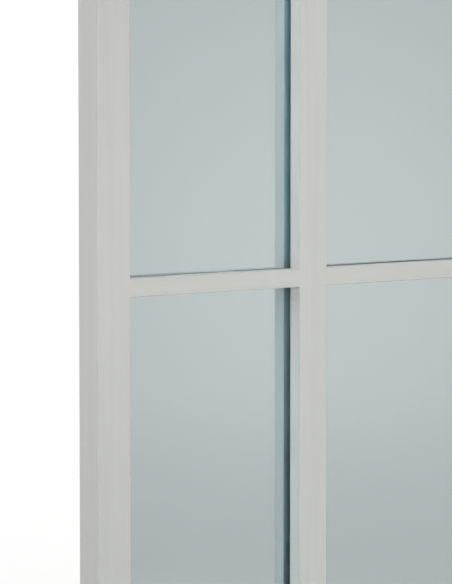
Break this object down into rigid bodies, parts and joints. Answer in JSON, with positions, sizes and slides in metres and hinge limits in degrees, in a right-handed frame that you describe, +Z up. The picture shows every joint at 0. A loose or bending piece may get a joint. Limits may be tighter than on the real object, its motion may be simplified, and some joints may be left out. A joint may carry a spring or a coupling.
{
  "type": "arched window mirror",
  "caption": "Tall wall mirror in a painted wooden frame with a round top, divided like a window by a wide mullion and thin horizontal bars, hung on swinging D-rings.",
  "frame": {"origin": "on the wall plane, midway between the two hangers, at the height of the axis of the rings' bars", "axes": "+Z up, +Y into the wall, +X to the right as seen from the front; the mirror looks along -Y"},
  "size_m": [0.6, 0.038, 1.2],
  "materials": {
    "paint": "off-white satin paint on wood, with faint brush grain and eased edges",
    "glass": "clear float glass with a faint green tint",
    "silver": "silvered mirror seen through the glass, grey protective paint on its back",
    "dowel_wood": "bare beech",
    "fibreboard": "brown fibreboard",
    "zinc": "bright zinc plating",
    "rubber": "matt black rubber",
    "foam": "grey foam tape"
  },
  "bodies": {
    "frame": {"left_stile": "paint", "right_stile": "paint", "bottom_rail": "paint", "arch_left": "paint", "arch_crown": "paint", "arch_right": "paint", "mullion": "paint", "lower_bar_left": "paint", "lower_bar_right": "paint", "spring_bar_left": "paint", "spring_bar_right": "paint", "rail_dowels": "dowel_wood", "arch_dowels": "dowel_wood", "mirror_glass": "glass", "silver_coat": "silver", "setting_blocks": "rubber", "foam_pads": "foam", "backing_board": "fibreboard", "board_screws": "zinc", "left_hanger_strap": "zinc", "right_hanger_strap": "zinc", "hanger_screws": "zinc", "left_bumper": "rubber", "right_bumper": "rubber"},
    "left_ring": {"left_hanger_ring": "zinc"},
    "right_ring": {"right_hanger_ring": "zinc"}
  },
  "joints": [
    {"name": "left_ring_swing", "type": "hinge", "parent": "frame", "child": "left_ring", "pos_m": [-0.285, -0.0032, 0], "axis": [1, 0, 0], "range_deg": [0, 180]},
    {"name": "right_ring_swing", "type": "hinge", "parent": "frame", "child": "right_ring", "pos_m": [0.285, -0.0032, 0], "axis": [1, 0, 0], "range_deg": [0, 180]}
  ]
}
